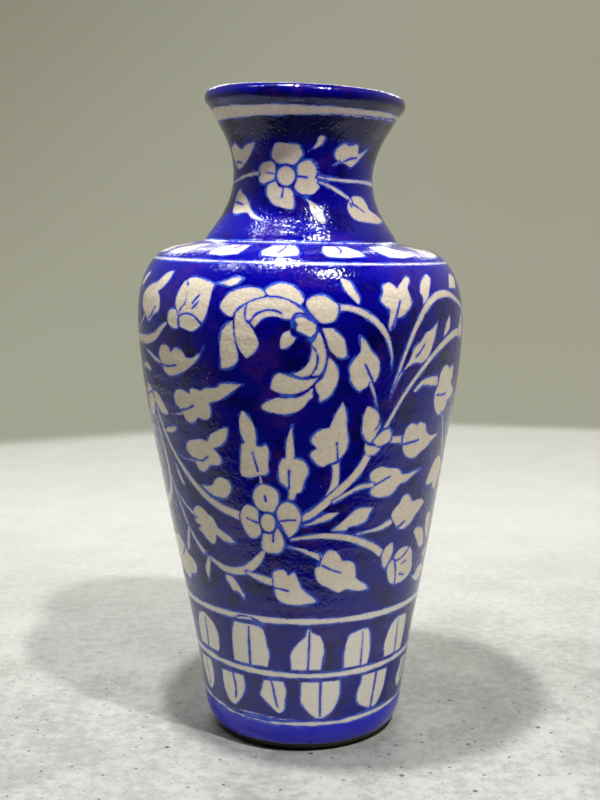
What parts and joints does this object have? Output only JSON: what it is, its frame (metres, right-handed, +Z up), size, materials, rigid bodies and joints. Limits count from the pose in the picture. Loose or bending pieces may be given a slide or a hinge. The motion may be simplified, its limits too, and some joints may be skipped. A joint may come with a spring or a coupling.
{
  "type": "vase",
  "caption": "Baluster pottery vase with a tapering body, round shoulder, waisted neck and rolled lip, glazed cobalt and white over bare clay.",
  "frame": {"origin": "on the vase's axis, at the plane its foot stands on", "axes": "+Z up along the vase's axis; +X to the right and +Y to the back, seen from the side with the large arching flower"},
  "size_m": [0.1294, 0.1294, 0.254],
  "materials": {
    "painted_glaze": "glossy clear glaze over brushed cobalt, with warm white flowers, leaves and bands left in reserve",
    "bare_foot_clay": "unglazed dark red-brown clay, matt, turned",
    "slip": "smeared slip, fired"
  },
  "bodies": {
    "root": {"foot_ring": "bare_foot_clay", "base_slab": "bare_foot_clay", "lower_body": "painted_glaze", "upper_body": "painted_glaze", "neck": "painted_glaze", "lip_roll": "painted_glaze", "slip_seam_foot": "slip", "slip_seam_base": "slip", "slip_seam_belly": "slip", "slip_seam_neck": "slip", "slip_seam_lip": "slip"}
  },
  "joints": []
}
